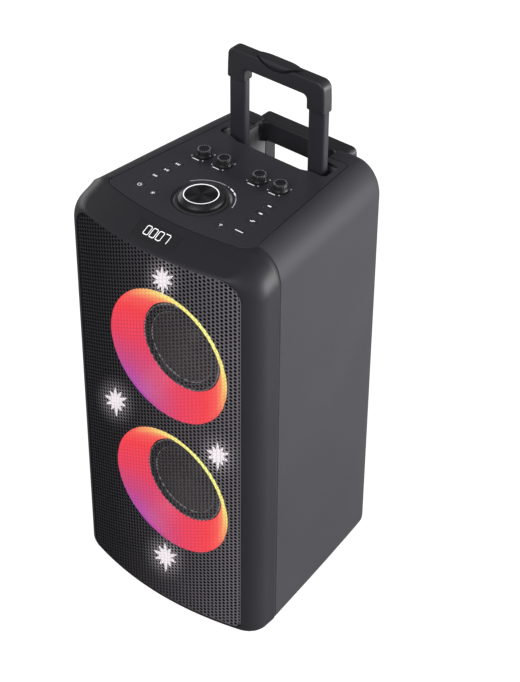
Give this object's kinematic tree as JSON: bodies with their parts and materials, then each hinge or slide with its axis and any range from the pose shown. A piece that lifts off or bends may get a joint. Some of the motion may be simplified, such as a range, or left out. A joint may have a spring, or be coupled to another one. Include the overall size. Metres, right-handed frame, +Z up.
{
  "type": "party speaker",
  "caption": "Tall portable party speaker with a pull-out trolley handle, rear carry bar and wheels, a knob panel on top, and light-ringed drivers behind a bowed perforated grille.",
  "frame": {"origin": "bottom centre of the bounding box, on the floor plane under the feet", "axes": "+Z up, grille faces -Y, +X is the right-hand side seen from the front"},
  "size_m": [0.337, 0.354, 0.8096],
  "materials": {
    "shell_plastic": "fine-textured charcoal plastic",
    "bezel_plastic": "satin charcoal plastic",
    "panel_plastic": "satin charcoal plastic",
    "grille_steel": "black powder-coated perforated sheet",
    "inner_plastic": "black moulded plastic",
    "handle_plastic": "satin black plastic",
    "rod_aluminium": "blue-black anodised",
    "knob_plastic": "black plastic",
    "knob_metal": "black, spun face",
    "ring_lens": "diffusing lit ring, sunset gradient",
    "dial_lens": "diffusing lit ring, dim white",
    "lamp": "clear lamp dome",
    "glass": "smoked gloss window",
    "circuit_board": "green solder mask",
    "cone_paper": "black pressed paper",
    "rubber": "black rubber",
    "steel": "plain steel",
    "tube_aluminium": "plain extruded aluminium",
    "driver_steel": "black pressed steel",
    "battery": "blue shrink wrap"
  },
  "bodies": {
    "cabinet": {"cabinet_shell": "shell_plastic", "rear_panel": "shell_plastic", "front_bezel": "bezel_plastic", "top_panel": "panel_plastic", "amp_module": "panel_plastic", "front_grille": "grille_steel", "handle_tub": "inner_plastic", "baffle_board": "inner_plastic", "power_socket": "inner_plastic", "carry_handle": "handle_plastic", "led_ring_upper": "ring_lens", "led_ring_lower": "ring_lens", "volume_light_ring": "dial_lens", "strobe_top": "lamp", "strobe_left": "lamp", "strobe_right": "lamp", "strobe_bottom": "lamp", "display_window": "glass", "control_board": "circuit_board", "woofer_surround_upper": "rubber", "woofer_surround_lower": "rubber", "foot_front_left": "rubber", "foot_front_right": "rubber", "foot_rear_left": "rubber", "foot_rear_right": "rubber", "wheel_axle": "steel", "guide_tube_left": "tube_aluminium", "guide_tube_right": "tube_aluminium", "woofer_basket_upper": "driver_steel", "woofer_basket_lower": "driver_steel", "mic_jack": "driver_steel", "guitar_jack": "driver_steel", "battery_pack": "battery"},
    "trolley": {"trolley_grip": "handle_plastic", "rod_left": "rod_aluminium", "rod_right": "rod_aluminium"},
    "grip_release": {"grip_button": "handle_plastic"},
    "volume_dial": {"volume_knob": "knob_metal"},
    "rocker": {"power_switch": "knob_plastic"},
    "wheel_l": {"wheel_left": "rubber"},
    "wheel_r": {"wheel_right": "rubber"},
    "cone_upper": {"woofer_cone_upper": "cone_paper"},
    "cone_lower": {"woofer_cone_lower": "cone_paper"},
    "mic_volume_knob_body": {"mic_volume_knob": "knob_plastic"},
    "guitar_volume_knob_body": {"guitar_volume_knob": "knob_plastic"},
    "bass_knob_body": {"bass_knob": "knob_plastic"},
    "treble_knob_body": {"treble_knob": "knob_plastic"},
    "power_button_body": {"power_button": "knob_plastic"},
    "light_button_body": {"light_button": "knob_plastic"},
    "previous_button_body": {"previous_button": "knob_plastic"},
    "play_button_body": {"play_button": "knob_plastic"},
    "next_button_body": {"next_button": "knob_plastic"},
    "pairing_button_body": {"pairing_button": "knob_plastic"},
    "mode_button_body": {"mode_button": "knob_plastic"},
    "bass_boost_button_body": {"bass_boost_button": "knob_plastic"},
    "mic_priority_button_body": {"mic_priority_button": "knob_plastic"},
    "repeat_button_body": {"repeat_button": "knob_plastic"}
  },
  "joints": [
    {"name": "trolley_slide", "type": "slide", "parent": "cabinet", "child": "trolley", "axis": [0, 0, 1], "range_m": [-0.135, 0.28]},
    {"name": "grip_press", "type": "slide", "parent": "trolley", "child": "grip_release", "axis": [0, 0, 1], "range_m": [-0.003, 0], "stiffness_N_per_m": 600},
    {"name": "volume_turn", "type": "hinge", "parent": "cabinet", "child": "volume_dial", "pos_m": [0, -0.063, 0.67], "axis": [0, 0, 1], "continuous": true},
    {"name": "mic_volume_turn", "type": "hinge", "parent": "cabinet", "child": "mic_volume_knob_body", "pos_m": [-0.0677, 0.022, 0.67], "axis": [0, 0, 1], "range_deg": [-150, 150]},
    {"name": "guitar_volume_turn", "type": "hinge", "parent": "cabinet", "child": "guitar_volume_knob_body", "pos_m": [-0.0313, 0.022, 0.67], "axis": [0, 0, 1], "range_deg": [-150, 150]},
    {"name": "bass_turn", "type": "hinge", "parent": "cabinet", "child": "bass_knob_body", "pos_m": [0.0313, 0.022, 0.67], "axis": [0, 0, 1], "range_deg": [-150, 150]},
    {"name": "treble_turn", "type": "hinge", "parent": "cabinet", "child": "treble_knob_body", "pos_m": [0.0677, 0.022, 0.67], "axis": [0, 0, 1], "range_deg": [-150, 150]},
    {"name": "power_press", "type": "slide", "parent": "cabinet", "child": "power_button_body", "axis": [0, 0, 1], "range_m": [-0.0012, 0], "stiffness_N_per_m": 900},
    {"name": "light_press", "type": "slide", "parent": "cabinet", "child": "light_button_body", "axis": [0, 0, 1], "range_m": [-0.0012, 0], "stiffness_N_per_m": 900},
    {"name": "previous_press", "type": "slide", "parent": "cabinet", "child": "previous_button_body", "axis": [0, 0, 1], "range_m": [-0.0012, 0], "stiffness_N_per_m": 900},
    {"name": "play_press", "type": "slide", "parent": "cabinet", "child": "play_button_body", "axis": [0, 0, 1], "range_m": [-0.0012, 0], "stiffness_N_per_m": 900},
    {"name": "next_press", "type": "slide", "parent": "cabinet", "child": "next_button_body", "axis": [0, 0, 1], "range_m": [-0.0012, 0], "stiffness_N_per_m": 900},
    {"name": "pairing_press", "type": "slide", "parent": "cabinet", "child": "pairing_button_body", "axis": [0, 0, 1], "range_m": [-0.0012, 0], "stiffness_N_per_m": 900},
    {"name": "mode_press", "type": "slide", "parent": "cabinet", "child": "mode_button_body", "axis": [0, 0, 1], "range_m": [-0.0012, 0], "stiffness_N_per_m": 900},
    {"name": "bass_boost_press", "type": "slide", "parent": "cabinet", "child": "bass_boost_button_body", "axis": [0, 0, 1], "range_m": [-0.0012, 0], "stiffness_N_per_m": 900},
    {"name": "mic_priority_press", "type": "slide", "parent": "cabinet", "child": "mic_priority_button_body", "axis": [0, 0, 1], "range_m": [-0.0012, 0], "stiffness_N_per_m": 900},
    {"name": "repeat_press", "type": "slide", "parent": "cabinet", "child": "repeat_button_body", "axis": [0, 0, 1], "range_m": [-0.0012, 0], "stiffness_N_per_m": 900},
    {"name": "rocker_tilt", "type": "hinge", "parent": "cabinet", "child": "rocker", "pos_m": [-0.035, 0.161, 0.2275], "axis": [1, 0, 0], "range_deg": [0, 16]},
    {"name": "wheel_left_spin", "type": "hinge", "parent": "cabinet", "child": "wheel_l", "pos_m": [-0.095, 0.1455, 0.032], "axis": [1, 0, 0], "continuous": true},
    {"name": "wheel_right_spin", "type": "hinge", "parent": "cabinet", "child": "wheel_r", "pos_m": [0.095, 0.1455, 0.032], "axis": [1, 0, 0], "continuous": true},
    {"name": "cone_upper_pump", "type": "slide", "parent": "cabinet", "child": "cone_upper", "axis": [0, -1, 0], "range_m": [-0.003, 0.003], "stiffness_N_per_m": 2000},
    {"name": "cone_lower_pump", "type": "slide", "parent": "cabinet", "child": "cone_lower", "axis": [0, -1, 0], "range_m": [-0.003, 0.003], "stiffness_N_per_m": 2000}
  ]
}
